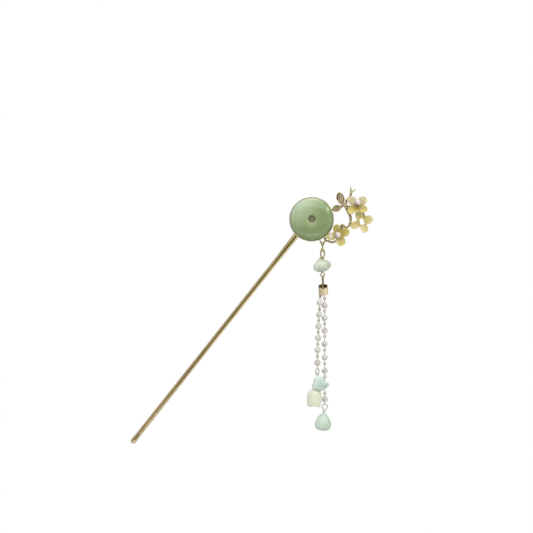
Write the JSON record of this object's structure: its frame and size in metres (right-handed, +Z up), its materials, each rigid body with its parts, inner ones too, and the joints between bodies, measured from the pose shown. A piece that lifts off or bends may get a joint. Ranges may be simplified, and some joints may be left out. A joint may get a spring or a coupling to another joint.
{
  "type": "hair stick",
  "caption": "Gold-coloured hair stick with a domed green jade disc, a blossom twig with pearls and stone-set leaves, and a hanging tassel of crystal beads and carved charms.",
  "frame": {"origin": "point on the stick's axis in the middle of its plain shaft, 75 mm from the disc, where the hair grips it", "axes": "+Z up, with the tassel hanging along -Z; +X to the right and +Y away from a viewer who faces the front of the disc; the stick lies in the XZ plane and leans 38.4 degrees from Z, tip at lower left"},
  "size_m": [0.1211, 0.0131, 0.1288],
  "materials": {
    "gold": "polished, slightly toned",
    "fine_wire": "darkened, satin",
    "jade": "polished, slightly translucent",
    "leaf_stone": "faceted",
    "petal": "glossy, translucent",
    "pearl": "pearly",
    "bud_glass": "frosted",
    "star_glass": "frosted",
    "bell_glass": "frosted",
    "drop_glass": "frosted",
    "crystal": "faceted, clear"
  },
  "bodies": {
    "root": {"metal_frame": "gold", "bail_link": "gold", "oval_link": "gold", "bud_pin": "gold", "cap_link": "gold", "tassel_cap": "gold", "left_links": "fine_wire", "left_ring": "fine_wire", "star_pin": "fine_wire", "bell_pin": "fine_wire", "right_links": "fine_wire", "drop_eye": "fine_wire", "jade_disc": "jade", "leaf_stones": "leaf_stone", "flower_upper": "petal", "flower_side": "petal", "flower_lower": "petal", "pearl_upper": "pearl", "pearl_lower": "pearl", "bud_bead": "bud_glass", "star_bead": "star_glass", "bell_bead": "bell_glass", "drop_bead": "drop_glass", "left_crystal_1": "crystal", "left_crystal_2": "crystal", "left_crystal_3": "crystal", "left_crystal_4": "crystal", "left_crystal_5": "crystal", "left_crystal_6": "crystal", "right_crystal_1": "crystal", "right_crystal_2": "crystal", "right_crystal_3": "crystal", "right_crystal_4": "crystal", "right_crystal_5": "crystal", "right_crystal_6": "crystal", "right_crystal_7": "crystal", "right_crystal_8": "crystal"}
  },
  "joints": []
}
